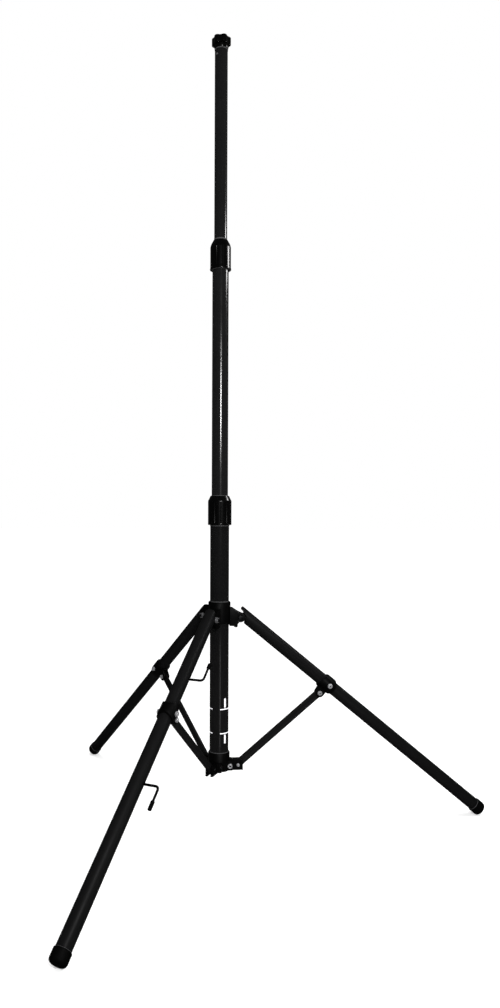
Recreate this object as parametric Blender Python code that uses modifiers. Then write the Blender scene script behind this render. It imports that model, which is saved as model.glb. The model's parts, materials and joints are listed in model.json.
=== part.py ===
"""Lighting tripod: a three-section mast on a folding leg linkage.

Frame: the origin is the centre of the mast's flat bottom face, +Z is up along the mast,
+X is to the right and +Y is away from the viewer. Each leg is built in its own frame, with its
origin on the hub pivot, +X out of the leg's upper side, +Y across it and -Z down the leg.
"""

import math

import bmesh
import bpy
from mathutils import Matrix, Vector

MM = 0.001

# Mast tubes
BOTTOM_TUBE_DIAMETER = 51.0 * MM
MIDDLE_TUBE_DIAMETER = 44.0 * MM
TOP_TUBE_DIAMETER = 35.0 * MM
TUBE_WALL = 1.5 * MM
BOTTOM_TUBE_TOP = 700.0 * MM
MIDDLE_TUBE_SHOWN = 610.0 * MM
TOP_TUBE_SHOWN = 517.0 * MM
MIDDLE_TUBE_OVERLAP = 61.0 * MM
TOP_TUBE_OVERLAP = 110.0 * MM
SLIDE_BUSH_LENGTH = 24.0 * MM

# Mast locks
MIDDLE_COLLAR_LENGTH = 78.5 * MM
TOP_COLLAR_LENGTH = 80.0 * MM
MIDDLE_COLLAR_OVER_TUBE = 39.5 * MM
TOP_COLLAR_OVER_TUBE = 57.0 * MM
COLLAR_WALL = 2.6 * MM
MIDDLE_LOCK_BUSH_WALL = 3.0 * MM
TOP_LOCK_BUSH_WALL = 2.7 * MM
TOP_COLLAR_RIM = 0.9 * MM
COLLET_SLOTS = 4
COLLET_SLOT_WIDTH = 2.0 * MM

# Mast head
INSERT_NECK_HEIGHT = 10.7 * MM
INSERT_NECK_RADIUS = 20.0 * MM
KNOB_HEIGHT = 18.7 * MM
KNOB_RADIUS = 26.0 * MM
KNOB_SCALLOP = 4.6 * MM
KNOB_LOBES = 6
KNOB_LOBE_ANGLE = math.radians(-8.0)
KNOB_STUD_DIAMETER = 9.6 * MM
RIVET_BELOW_RIM = 18.0 * MM
RIVET_AZIMUTH = math.radians(227.0)

# Leg linkage, seen in the plane of one leg: distance from the mast's axis and height
LEG_AZIMUTHS = {
    "front": math.radians(245.7),
    "right": math.radians(5.7),
    "rear": math.radians(125.7),
}
LEG_INCLINATION = math.radians(50.55)
HUB_PIVOT_REACH = 56.0 * MM
HUB_PIVOT_HEIGHT = 411.0 * MM
LEG_AXIS_OFFSET = 10.75 * MM
FOOT_PIVOT_REACH = 51.0 * MM
FOOT_PIVOT_HEIGHT = 14.0 * MM
COLLAR_BOLT_DOWN_LEG = 307.3 * MM
STRUT_PIVOT_ABOVE_BOLT = 5.7 * MM
CAP_RIM_DOWN_LEG = 845.2 * MM

# Legs
LEG_TUBE_DIAMETER = 34.0 * MM
LEG_CUT_RADIUS = 15.5 * MM
LEG_FLAP_RISE = 12.0 * MM
LEG_INNER_CUT = 19.0 * MM
FOOT_CAP_LENGTH = 27.0 * MM
FOOT_CAP_WALL = 1.9 * MM
FOOT_CAP_CORNER = 8.0 * MM

# Struts
STRUT_DEPTH = 20.0 * MM
STRUT_THICKNESS = 7.0 * MM
STRUT_GROOVE_WIDTH = 8.0 * MM
STRUT_GROOVE_DEPTH = 1.0 * MM

# Leg collars
LEG_COLLAR_WALL = 4.2 * MM
LEG_COLLAR_CHEEK = 5.0 * MM
LEG_COLLAR_TIP_RADIUS = 12.0 * MM

# Hubs
UPPER_HUB_LENGTH = 57.0 * MM
UPPER_HUB_BELOW_PIVOT = 14.0 * MM
UPPER_HUB_WALL = 2.4 * MM
UPPER_CHEEK_RADIUS = 12.5 * MM
UPPER_CHEEK_OUTER = 15.0 * MM
UPPER_CHEEK_INNER = 9.0 * MM
LOWER_HUB_LENGTH = 49.0 * MM
LOWER_HUB_WALL = 3.2 * MM
LOWER_LUG_HEIGHT = 28.0 * MM
LOWER_LUG_REACH = 64.0 * MM
LOWER_LUG_HALF_WIDTH = 10.5 * MM
LOWER_ROOT_HALF_WIDTH = 20.0 * MM
LINER_WALL = 1.5 * MM
HUB_LOCK_AZIMUTH = math.radians(84.0)
HUB_LOCK_ABOVE_PIVOT = 14.0 * MM

# Fasteners
PIVOT_BOLT_DIAMETER = 8.0 * MM
COLLAR_BOLT_DIAMETER = 6.0 * MM
STRUT_RIVET_DIAMETER = 5.4 * MM
LEG_RIVET_DIAMETER = 4.4 * MM
LEG_RIVET_DOWN_LEG = 367.0 * MM

# Cable hooks on the front leg
HOOK_WIRE_DIAMETER = 6.0 * MM
UPPER_HOOK_DOWN_LEG = 205.6 * MM
LOWER_HOOK_DOWN_LEG = 493.6 * MM
HOOK_REACH = 41.0 * MM
HOOK_BEND = 8.0 * MM

# Clearances
FIT = 0.3 * MM
HOLE_PLAY = 0.3 * MM
STRUT_PLAY = 0.5 * MM

# Roundness
TUBE_SIDES = 28
LEG_SIDES = 20
SMALL_SIDES = 12

BOTTOM_RADIUS = BOTTOM_TUBE_DIAMETER / 2
MIDDLE_RADIUS = MIDDLE_TUBE_DIAMETER / 2
TOP_RADIUS = TOP_TUBE_DIAMETER / 2
LEG_RADIUS = LEG_TUBE_DIAMETER / 2

for old in list(bpy.data.objects):
    bpy.data.objects.remove(old, do_unlink=True)

tripod = bpy.data.collections.new("lighting_tripod")
bpy.context.scene.collection.children.link(tripod)
workshop = bpy.data.collections.new("cutters")
bpy.context.scene.collection.children.link(workshop)


def material(name, colour, roughness, metallic):
    made = bpy.data.materials.new(name)
    made.use_nodes = True
    surface = made.node_tree.nodes["Principled BSDF"]
    surface.inputs["Base Color"].default_value = (*colour, 1.0)
    surface.inputs["Roughness"].default_value = roughness
    surface.inputs["Metallic"].default_value = metallic
    return made


BLACK_TUBE = material("satin_black_tube", (0.012, 0.012, 0.013), 0.38, 0.3)
BLACK_CAST = material("black_casting", (0.004, 0.004, 0.004), 0.45, 0.0)
BLACK_PLASTIC = material("black_plastic", (0.006, 0.006, 0.006), 0.5, 0.0)
BLACK_RUBBER = material("black_rubber", (0.005, 0.005, 0.005), 0.8, 0.0)
GREY_NYLON = material("grey_nylon", (0.09, 0.09, 0.09), 0.55, 0.0)
BRIGHT_STEEL = material("bright_zinc", (0.62, 0.62, 0.62), 0.28, 1.0)


def object_of(name, mesh):
    made = bpy.data.objects.new(name, mesh)
    workshop.objects.link(made)
    return made


def turned(name, profile, sides=TUBE_SIDES, solid=False):
    """Turn a profile about Z. It is given down the outer side, as radius and height."""
    mesh = bpy.data.meshes.new(name)
    points = [(radius, 0.0, height) for radius, height in profile]
    edges = [(i, i + 1) for i in range(len(points) - 1)]
    if not solid:
        edges.append((len(points) - 1, 0))
    mesh.from_pydata(points, edges, [])
    made = object_of(name, mesh)
    turn = made.modifiers.new("turn", "SCREW")
    turn.axis = "Z"
    turn.angle = 2 * math.pi
    turn.steps = sides
    turn.render_steps = sides
    turn.use_merge_vertices = True
    turn.merge_threshold = 0.00001
    return made


def ring(name, outer, inner, low, high, sides=TUBE_SIDES):
    return turned(name, [(outer, high), (outer, low), (inner, low), (inner, high)], sides)


def pin(name, radius, low, high, sides=SMALL_SIDES):
    return turned(name, [(0, high), (radius, high), (radius, low), (0, low)], sides, solid=True)


def plate(name, outline, thickness):
    """Fill an outline in X and Z, thickened evenly to both sides along Y."""
    curve = bpy.data.curves.new(name, "CURVE")
    curve.dimensions = "2D"
    curve.fill_mode = "BOTH"
    curve.extrude = thickness / 2
    spline = curve.splines.new("POLY")
    spline.points.add(len(outline) - 1)
    for point, (across, up) in zip(spline.points, outline):
        point.co = (across, up, 0.0, 1.0)
    spline.use_cyclic_u = True
    drawn = object_of(name, curve)
    made = object_of(name, evaluated_mesh(drawn))
    bpy.data.objects.remove(drawn)
    weld_and_face_out(made.data)
    made.data.transform(Matrix.Rotation(math.pi / 2, 4, "X"))
    return made


def weld_and_face_out(mesh):
    work = bmesh.new()
    work.from_mesh(mesh)
    bmesh.ops.remove_doubles(work, verts=work.verts, dist=0.000001)
    bmesh.ops.recalc_face_normals(work, faces=work.faces)
    work.to_mesh(mesh)
    work.free()


def evaluated_mesh(thing):
    bpy.context.view_layer.update()
    graph = bpy.context.evaluated_depsgraph_get()
    return bpy.data.meshes.new_from_object(thing.evaluated_get(graph))


def apply_all(thing):
    mesh = evaluated_mesh(thing)
    thing.modifiers.clear()
    thing.data = mesh


def combine(thing, other, operation):
    bpy.context.view_layer.update()
    step = thing.modifiers.new(operation.lower(), "BOOLEAN")
    step.operation = operation
    step.solver = "EXACT"
    step.object = other
    apply_all(thing)
    bpy.data.objects.remove(other)


def cut(thing, *cutters):
    for cutter in cutters:
        combine(thing, cutter, "DIFFERENCE")


def join(thing, *others):
    for other in others:
        combine(thing, other, "UNION")


def moved(thing, location=(0, 0, 0), about_z=0.0):
    """Bake a piece's modifiers and a new place into its mesh."""
    if thing.modifiers:
        apply_all(thing)
    thing.data.transform(Matrix.Translation(location) @ Matrix.Rotation(about_z, 4, "Z"))
    return thing


def lying(thing, location=(0, 0, 0)):
    """Turn a piece made along Z so that it lies along Y, its top towards +Y."""
    if thing.modifiers:
        apply_all(thing)
    thing.data.transform(Matrix.Translation(location) @ Matrix.Rotation(-math.pi / 2, 4, "X"))
    return thing


def empty(name, location=(0, 0, 0), rotation=(0, 0, 0), parent=None):
    made = bpy.data.objects.new(name, None)
    made.empty_display_size = 0.02
    made.location = location
    made.rotation_euler = rotation
    made.parent = parent
    tripod.objects.link(made)
    return made


def finish(thing, name, surface, parent=None, origin=(0, 0, 0), edge_angle=35.0):
    """Name a piece, put its origin at a point, shade it and file it with the tripod."""
    if thing.modifiers:
        apply_all(thing)
    thing.name = name
    thing.data.name = name
    if thing.data.users == 1:
        thing.data.transform(Matrix.Translation(-Vector(origin)))
        thing.data.shade_smooth()
        thing.data.set_sharp_from_angle(angle=math.radians(edge_angle))
        thing.data.materials.clear()
        thing.data.materials.append(surface)
    thing.location = origin
    thing.parent = parent
    workshop.objects.unlink(thing)
    tripod.objects.link(thing)
    return thing


def repeat(thing, name, surface, places, edge_angle=35.0):
    """Objects of one mesh, one for each name, location, rotation and parent in places."""
    finish(thing, name, surface, edge_angle=edge_angle)
    for i, (full_name, location, rotation, parent) in enumerate(places):
        copy = thing if i == 0 else bpy.data.objects.new(full_name, thing.data)
        copy.name = full_name
        copy.location = location
        copy.rotation_euler = rotation
        copy.parent = parent
        if i > 0:
            tripod.objects.link(copy)


def arc(centre, radius, start, end, steps):
    points = []
    for i in range(steps + 1):
        angle = math.radians(start + (end - start) * i / steps)
        points.append((centre[0] + radius * math.cos(angle), centre[1] + radius * math.sin(angle)))
    return points


# Heights along the mast
middle_collar_low = BOTTOM_TUBE_TOP - MIDDLE_COLLAR_OVER_TUBE
middle_collar_high = middle_collar_low + MIDDLE_COLLAR_LENGTH
top_collar_low = middle_collar_high + MIDDLE_TUBE_SHOWN
top_collar_high = top_collar_low + TOP_COLLAR_LENGTH
middle_tube_top = top_collar_low + TOP_COLLAR_OVER_TUBE
middle_tube_low = BOTTOM_TUBE_TOP - MIDDLE_TUBE_OVERLAP
top_tube_high = top_collar_high + TOP_TUBE_SHOWN
top_tube_low = middle_tube_top - TOP_TUBE_OVERLAP
plug_flange = 3.0 * MM

# Carriers: everything that slides with the middle tube hangs on one empty, and so on
middle_mast = empty("middle_mast_slide")
top_mast = empty("top_mast_slide", parent=middle_mast)
hub_slide = empty("upper_hub_slide")


# Bottom tube and its end plug
bottom_tube = ring("bottom_tube", BOTTOM_RADIUS, BOTTOM_RADIUS - TUBE_WALL,
                   plug_flange + FIT, BOTTOM_TUBE_TOP)
finish(bottom_tube, "bottom_tube", BLACK_TUBE)

plug_bore = BOTTOM_RADIUS - TUBE_WALL - FIT
plug = turned("mast_end_plug", [
    (0, 5 * MM),
    (plug_bore - 3 * MM, 5 * MM),
    (plug_bore - 3 * MM, 24 * MM),
    (plug_bore - 0.8 * MM, 24 * MM),
    (plug_bore, 22 * MM),
    (plug_bore, plug_flange),
    (BOTTOM_RADIUS - FIT, plug_flange),
    (BOTTOM_RADIUS - FIT, 0.8 * MM),
    (BOTTOM_RADIUS - FIT - 0.8 * MM, 0),
    (0, 0),
], solid=True)
finish(plug, "mast_end_plug", BLACK_PLASTIC)


# Mast locks: a bush on the outer tube, a split collet on its end, a twist collar over both
def lock(prefix, tube_radius, inner_radius, tube_top, collar_low, collar_high, bush_wall, dome):
    bush_outer = tube_radius + FIT + bush_wall
    bush_high = tube_top + 6 * MM
    bush = ring(prefix + "_lock_bush", bush_outer, tube_radius + FIT,
                collar_low + 3 * MM, bush_high)
    collet_outer = tube_radius - 0.3 * MM
    collet_high = collar_high - (8 if dome else 7) * MM
    collet = turned(prefix + "_lock_collet", [
        (collet_outer - 1.2 * MM, collet_high),
        (collet_outer, collet_high - 4 * MM),
        (collet_outer, tube_top + FIT),
        (inner_radius + FIT, tube_top + FIT),
        (inner_radius + FIT, collet_high),
    ])
    slot_depth = collet_high - tube_top - 5 * MM
    for i in range(COLLET_SLOTS // 2):
        slot = bmesh.new()
        bmesh.ops.create_cube(slot, size=1.0)
        bmesh.ops.scale(slot, verts=slot.verts,
                        vec=(4 * collet_outer, COLLET_SLOT_WIDTH, 2 * slot_depth))
        bmesh.ops.translate(slot, verts=slot.verts, vec=(0, 0, collet_high))
        mesh = bpy.data.meshes.new("slot")
        slot.to_mesh(mesh)
        slot.free()
        cut(collet, moved(object_of("slot", mesh), about_z=math.pi * i / 2 + math.pi / 4))
    collar_inner = bush_outer + FIT
    collar_outer = collar_inner + COLLAR_WALL
    lip = inner_radius + 0.8 * MM
    neck = collet_outer + 0.5 * MM
    rim = lip + 0.15 * (collar_outer - lip)
    foot = collar_outer
    if dome:
        rim = lip + 1 * MM
        shoulder = [(rim, collar_high)]
        for across, down in ((0.22, 3), (0.5, 7.5), (0.74, 11.5), (0.9, 15.5), (1.0, 20)):
            shoulder.append((rim + across * (collar_outer - rim), collar_high - down * MM))
        shoulder.append((collar_outer, collar_low + 8 * MM))
        foot += TOP_COLLAR_RIM
    else:
        shoulder = [
            (rim, collar_high),
            (rim + 1 * MM, collar_high - 1 * MM),
            (collar_outer - 1 * MM, collar_high - 12 * MM),
            (collar_outer, collar_high - 14 * MM),
        ]
    profile = [(lip, collar_high)] + shoulder + [
        (foot, collar_low + 1.5 * MM),
        (foot - 1 * MM, collar_low),
        (collar_inner, collar_low),
        (collar_inner, bush_high + 1 * MM),
        (neck, bush_high + 3 * MM),
        (neck, collet_high - 3.5 * MM),
        (neck - 1.2 * MM, collet_high + 1 * MM),
        (lip, collet_high + 2.5 * MM),
    ]
    collar = turned(prefix + "_lock_collar", profile)
    return bush, collet, collar


bush, collet, collar = lock("middle", BOTTOM_RADIUS, MIDDLE_RADIUS, BOTTOM_TUBE_TOP,
                            middle_collar_low, middle_collar_high, MIDDLE_LOCK_BUSH_WALL, False)
finish(bush, "middle_lock_bush", BLACK_PLASTIC)
finish(collet, "middle_lock_collet", GREY_NYLON)
finish(collar, "middle_lock_collar", BLACK_PLASTIC, origin=(0, 0, middle_collar_low))

bush, collet, collar = lock("top", MIDDLE_RADIUS, TOP_RADIUS, middle_tube_top,
                            top_collar_low, top_collar_high, TOP_LOCK_BUSH_WALL, True)
finish(bush, "top_lock_bush", BLACK_PLASTIC, middle_mast)
finish(collet, "top_lock_collet", GREY_NYLON, middle_mast)
finish(collar, "top_lock_collar", BLACK_PLASTIC, middle_mast, origin=(0, 0, top_collar_low))

# Middle and top tubes, each with a slide bush round its foot
middle_tube = ring("middle_tube", MIDDLE_RADIUS, MIDDLE_RADIUS - TUBE_WALL,
                   middle_tube_low, middle_tube_top)
finish(middle_tube, "middle_tube", BLACK_TUBE, middle_mast)
middle_bush = ring("middle_tube_bush", BOTTOM_RADIUS - TUBE_WALL - FIT, MIDDLE_RADIUS + FIT,
                   middle_tube_low, middle_tube_low + SLIDE_BUSH_LENGTH)
finish(middle_bush, "middle_tube_bush", GREY_NYLON, middle_mast)

top_tube = ring("top_tube", TOP_RADIUS, TOP_RADIUS - TUBE_WALL, top_tube_low, top_tube_high)
top_bush = ring("top_tube_bush", MIDDLE_RADIUS - TUBE_WALL - FIT, TOP_RADIUS + FIT,
                top_tube_low, top_tube_low + SLIDE_BUSH_LENGTH)
finish(top_bush, "top_tube_bush", GREY_NYLON, top_mast)

# Insert, rivet, knob and its stud at the mast's head
neck_low = top_tube_high + FIT
neck_high = neck_low + INSERT_NECK_HEIGHT
spigot_radius = TOP_RADIUS - TUBE_WALL - FIT
stud_radius = KNOB_STUD_DIAMETER / 2
stud_low = neck_low - 22 * MM
insert = turned("top_insert", [
    (stud_radius + FIT, neck_high),
    (INSERT_NECK_RADIUS - 1 * MM, neck_high),
    (INSERT_NECK_RADIUS, neck_high - 1 * MM),
    (TOP_RADIUS + 1.2 * MM, neck_low + 1.5 * MM),
    (TOP_RADIUS + 0.4 * MM, neck_low),
    (spigot_radius, neck_low),
    (spigot_radius, top_tube_high - 32 * MM),
    (stud_radius + FIT, top_tube_high - 32 * MM),
])


def radial(thing, azimuth, height):
    """Lay a piece made along Z so that its top points outwards at an azimuth."""
    if thing.modifiers:
        apply_all(thing)
    place = (Matrix.Translation((0, 0, height)) @ Matrix.Rotation(azimuth, 4, "Z")
             @ Matrix.Rotation(math.pi / 2, 4, "Y"))
    thing.data.transform(place)
    return thing


rivet_height = top_tube_high - RIVET_BELOW_RIM
rivet_shank = 1.9 * MM
rivet_tip = spigot_radius - 3 * MM
for drilled in (top_tube, insert):
    bore = pin("bore", rivet_shank + HOLE_PLAY, rivet_tip - FIT, TOP_RADIUS + 5 * MM)
    cut(drilled, radial(bore, RIVET_AZIMUTH, rivet_height))
finish(top_tube, "top_tube", BLACK_TUBE, top_mast)
finish(insert, "top_insert", BLACK_PLASTIC, top_mast)
rivet = turned("top_rivet", [
    (0, TOP_RADIUS + 1.6 * MM),
    (2.2 * MM, TOP_RADIUS + 1.3 * MM),
    (3.3 * MM, TOP_RADIUS + FIT),
    (rivet_shank, TOP_RADIUS + FIT),
    (rivet_shank, rivet_tip),
    (0, rivet_tip),
], SMALL_SIDES, solid=True)
finish(radial(rivet, RIVET_AZIMUTH, rivet_height), "top_rivet", BRIGHT_STEEL, top_mast)

knob_low = neck_high + FIT
knob_high = knob_low + KNOB_HEIGHT
knob_turn = empty("top_knob_turn", (0, 0, knob_low), parent=top_mast)
mid_radius = KNOB_RADIUS - KNOB_SCALLOP / 2
lobes = []
for i in range(KNOB_LOBES * 8):
    angle = 2 * math.pi * i / (KNOB_LOBES * 8)
    wave = math.cos(KNOB_LOBES * (angle - KNOB_LOBE_ANGLE))
    reach = mid_radius + KNOB_SCALLOP / 2 * (wave + 0.18 * (1 - wave * wave))
    lobes.append((reach * math.cos(angle), reach * math.sin(angle)))
knob = plate("top_knob", lobes, KNOB_HEIGHT)
knob.data.transform(Matrix.Translation((0, 0, KNOB_HEIGHT / 2))
                    @ Matrix.Rotation(-math.pi / 2, 4, "X"))
soften = knob.modifiers.new("rim", "BEVEL")
soften.width = 2.2 * MM
soften.segments = 2
soften.limit_method = "ANGLE"
soften.angle_limit = math.radians(60)
apply_all(knob)
stud_high = 13 * MM
cut(knob, pin("bore", stud_radius + FIT, -5 * MM, stud_high + FIT, 16))
finish(knob, "top_knob", BLACK_PLASTIC, knob_turn)
stud = pin("top_knob_stud", stud_radius, stud_low - knob_low, stud_high, 16)
finish(stud, "top_knob_stud", BRIGHT_STEEL, knob_turn)


# The upper hub slides on the bottom tube and carries the three leg pivots
pivot = (HUB_PIVOT_REACH, HUB_PIVOT_HEIGHT)
hub_low = HUB_PIVOT_HEIGHT - UPPER_HUB_BELOW_PIVOT
hub_high = hub_low + UPPER_HUB_LENGTH
hub_lock_height = HUB_PIVOT_HEIGHT + HUB_LOCK_ABOVE_PIVOT
liner_outer = BOTTOM_RADIUS + FIT + LINER_WALL
hub_bore = liner_outer + FIT
hub_outer = hub_bore + UPPER_HUB_WALL
hub = turned("upper_hub", [
    (0, hub_high),
    (hub_outer - 1.6 * MM, hub_high),
    (hub_outer, hub_high - 1.6 * MM),
    (hub_outer, hub_low + 0.8 * MM),
    (hub_outer - 0.8 * MM, hub_low),
    (0, hub_low),
], solid=True)
apply_all(hub)
web_reach = HUB_PIVOT_REACH - UPPER_CHEEK_RADIUS - 3.5 * MM
arm_outline = [
    (liner_outer, hub_high - 17 * MM),
    (hub_outer + 6 * MM, hub_high - 17 * MM),
    (HUB_PIVOT_REACH - 6 * MM, HUB_PIVOT_HEIGHT + UPPER_CHEEK_RADIUS + 4 * MM),
]
arm_outline += arc(pivot, UPPER_CHEEK_RADIUS, 75, -105, 9)
arm_outline += [
    (HUB_PIVOT_REACH - 7.5 * MM, hub_low - 3 * MM),
    (HUB_PIVOT_REACH - 8 * MM, hub_low - 9 * MM),
    (HUB_PIVOT_REACH - 9.5 * MM, hub_low - 11.5 * MM),
    (HUB_PIVOT_REACH - 16 * MM, hub_low - 11.5 * MM),
    (HUB_PIVOT_REACH - 19 * MM, hub_low - 8 * MM),
    (liner_outer, hub_low - 8 * MM),
]
slot_far = HUB_PIVOT_REACH + 2 * UPPER_CHEEK_RADIUS
for azimuth in LEG_AZIMUTHS.values():
    arm = plate("arm", arm_outline, 2 * UPPER_CHEEK_OUTER)
    slot = plate("slot", [
        (web_reach, hub_low - 30 * MM),
        (slot_far, hub_low - 30 * MM),
        (slot_far, hub_high + 10 * MM),
        (web_reach, hub_high + 10 * MM),
    ], 2 * UPPER_CHEEK_INNER)
    hole = pin("hole", PIVOT_BOLT_DIAMETER / 2 + HOLE_PLAY, -30 * MM, 30 * MM)
    cut(arm, slot, lying(hole, (pivot[0], 0, pivot[1])))
    join(hub, moved(arm, about_z=azimuth))
cut(hub, pin("bore", hub_bore, hub_low - 30 * MM, hub_high + 10 * MM, TUBE_SIDES))
lock_shank = 4.0 * MM
cut(hub, radial(pin("bore", lock_shank + HOLE_PLAY, 20 * MM, 45 * MM), HUB_LOCK_AZIMUTH,
                hub_lock_height))
finish(hub, "upper_hub", BLACK_CAST, hub_slide)

liner = ring("hub_liner", liner_outer, BOTTOM_RADIUS + FIT, hub_low + 2 * MM, hub_high - 2 * MM)
cut(liner, radial(pin("bore", lock_shank + HOLE_PLAY, 20 * MM, 45 * MM), HUB_LOCK_AZIMUTH,
                  hub_lock_height))
finish(liner, "hub_liner", GREY_NYLON, hub_slide)

# The knob behind the hub that clamps it on the tube
lock_face = hub_outer + 9 * MM
lock_turn = empty("hub_lock_turn", (0, 0, hub_lock_height), (0, math.pi / 2, HUB_LOCK_AZIMUTH),
                  hub_slide)
lock_knob = turned("hub_lock_knob", [
    (0, lock_face + 16 * MM),
    (9 * MM, lock_face + 16 * MM),
    (11 * MM, lock_face + 14 * MM),
    (11 * MM, lock_face + 2 * MM),
    (7 * MM, lock_face),
    (lock_shank + FIT, lock_face),
    (lock_shank + FIT, lock_face + 10 * MM + FIT),
    (0, lock_face + 10 * MM + FIT),
], 20, solid=True)
finish(lock_knob, "hub_lock_knob", BLACK_PLASTIC, lock_turn)
lock_stud = pin("hub_lock_stud", lock_shank, BOTTOM_RADIUS + FIT, lock_face + 10 * MM)
finish(lock_stud, "hub_lock_stud", BRIGHT_STEEL, lock_turn)


def hex_nut(name, across_corners, bore, low, high):
    nut = pin(name, across_corners / 2, low, high, 6)
    apply_all(nut)
    cut(nut, pin("bore", bore, low - 1 * MM, high + 1 * MM))
    return nut


def bolt(name, shank, head, head_height, grip, tail):
    """A bolt along Z, its head below -grip and its end at tail."""
    return turned(name, [
        (0, tail),
        (shank - 0.5 * MM, tail),
        (shank, tail - 0.5 * MM),
        (shank, -grip),
        (head, -grip),
        (head, -grip - head_height + 1 * MM),
        (head - 1 * MM, -grip - head_height),
        (0, -grip - head_height),
    ], SMALL_SIDES, solid=True)


def on_leg_plane(point, azimuth):
    reach, height = point
    return (reach * math.cos(azimuth), reach * math.sin(azimuth), height)


seat = UPPER_CHEEK_OUTER + FIT
nut_bore = PIVOT_BOLT_DIAMETER / 2 + FIT
pivot_bolt = lying(bolt("pivot_bolt", PIVOT_BOLT_DIAMETER / 2, 6.8 * MM, 4.5 * MM, seat,
                        seat + 9 * MM))
pivot_nut = hex_nut("pivot_nut", 14.6 * MM, nut_bore, seat + 1.2 * MM, seat + 7 * MM)
join(pivot_nut, ring("washer", 8.0 * MM, nut_bore, seat, seat + 1.4 * MM, 16))
lying(pivot_nut)
for kind, piece in (("bolt", pivot_bolt), ("nut", pivot_nut)):
    repeat(piece, "pivot_" + kind, BRIGHT_STEEL, [
        (leg + "_pivot_" + kind, on_leg_plane(pivot, azimuth), (0, 0, azimuth), hub_slide)
        for leg, azimuth in LEG_AZIMUTHS.items()
    ])


# The lower hub is fixed at the mast's foot and carries the strut pivots
lower_bore = BOTTOM_RADIUS + FIT
lower_outer = lower_bore + LOWER_HUB_WALL
lower_low = 1.0 * MM
lower_high = lower_low + LOWER_HUB_LENGTH
lower_hub = turned("lower_hub", [
    (0, lower_high),
    (lower_outer - 2 * MM, lower_high),
    (lower_outer - 1 * MM, lower_high - 0.4 * MM),
    (lower_outer, lower_high - 2 * MM),
    (lower_outer, lower_low + 0.8 * MM),
    (lower_outer - 0.8 * MM, lower_low),
    (0, lower_low),
], solid=True)
apply_all(lower_hub)
lug_low = lower_low - 0.5 * MM
lug_high = lug_low + LOWER_LUG_HEIGHT
strut_gap = STRUT_THICKNESS / 2 + STRUT_PLAY
lug_web = FOOT_PIVOT_REACH - STRUT_DEPTH / 2 - 3 * MM
corner = 8 * MM
lug_outline = [(BOTTOM_RADIUS, lug_high)]
lug_outline += arc((LOWER_LUG_REACH - corner, lug_high - corner), corner, 90, 0, 5)
lug_outline += [
    (LOWER_LUG_REACH, lug_low + 3 * MM),
    (LOWER_LUG_REACH + 1.5 * MM, lug_low),
    (BOTTOM_RADIUS, lug_low),
]
root_reach = lower_outer + 7 * MM
root_outline = [
    (0, LOWER_ROOT_HALF_WIDTH),
    (root_reach - 3 * MM, LOWER_ROOT_HALF_WIDTH),
    (root_reach, LOWER_ROOT_HALF_WIDTH - 3 * MM),
    (root_reach, 3 * MM - LOWER_ROOT_HALF_WIDTH),
    (root_reach - 3 * MM, -LOWER_ROOT_HALF_WIDTH),
    (0, -LOWER_ROOT_HALF_WIDTH),
]
rivet_radius = STRUT_RIVET_DIAMETER / 2
for azimuth in LEG_AZIMUTHS.values():
    lug = plate("lug", lug_outline, 2 * LOWER_LUG_HALF_WIDTH)
    root = plate("root", root_outline, lug_high - lug_low - 4 * MM)
    root.data.transform(Matrix.Translation((0, 0, (lug_low + lug_high) / 2))
                        @ Matrix.Rotation(-math.pi / 2, 4, "X"))
    join(lug, root)
    slot = plate("slot", [
        (lug_web, lug_low - 9 * MM),
        (LOWER_LUG_REACH + 9 * MM, lug_low - 9 * MM),
        (LOWER_LUG_REACH + 9 * MM, lug_high + 9 * MM),
        (lug_web, lug_high + 9 * MM),
    ], 2 * strut_gap)
    hole = lying(pin("hole", rivet_radius + HOLE_PLAY, -30 * MM, 30 * MM),
                 (FOOT_PIVOT_REACH, 0, FOOT_PIVOT_HEIGHT))
    cut(lug, slot, hole)
    join(lower_hub, moved(lug, about_z=azimuth))
cut(lower_hub, pin("bore", lower_bore, -30 * MM, lower_high + 10 * MM, TUBE_SIDES))
finish(lower_hub, "lower_hub", BLACK_CAST)

rivet_seat = LOWER_LUG_HALF_WIDTH + FIT
lower_rivet = turned("lower_rivet", [
    (0, rivet_seat + 2.4 * MM),
    (3.0 * MM, rivet_seat + 2.0 * MM),
    (4.75 * MM, rivet_seat + 0.5 * MM),
    (4.75 * MM, rivet_seat),
    (rivet_radius, rivet_seat),
    (rivet_radius, strut_gap + FIT),
    (0, strut_gap + FIT),
], SMALL_SIDES, solid=True)
foot_pivot = (FOOT_PIVOT_REACH, FOOT_PIVOT_HEIGHT)
repeat(lying(lower_rivet), "lower_rivet", BRIGHT_STEEL, [
    (leg + "_lower_rivet_" + side, on_leg_plane(foot_pivot, azimuth), (0, 0, azimuth + turn), None)
    for leg, azimuth in LEG_AZIMUTHS.items()
    for side, turn in (("left", 0.0), ("right", math.pi))
])


# One leg, in its own frame, and one strut, in the frame of its upper pivot
collar_outer = LEG_RADIUS + FIT + LEG_COLLAR_WALL
strut_pivot = Vector((LEG_AXIS_OFFSET - collar_outer - STRUT_DEPTH / 2 - 1 * MM, 0,
                      STRUT_PIVOT_ABOVE_BOLT - COLLAR_BOLT_DOWN_LEG))
tube_end = CAP_RIM_DOWN_LEG + 15 * MM
collar_bolt_radius = COLLAR_BOLT_DIAMETER / 2
wire_radius = HOOK_WIRE_DIAMETER / 2


def leg_bore():
    """The cutter for everything that a piece over the leg tube leaves free."""
    hole = pin("bore", LEG_RADIUS + FIT, -tube_end, 20 * MM, LEG_SIDES)
    return moved(hole, (LEG_AXIS_OFFSET, 0, 0))


def cross_hole(x, z, radius, half_length=40 * MM):
    return lying(pin("hole", radius, -half_length, half_length), (x, 0, z))


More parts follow.
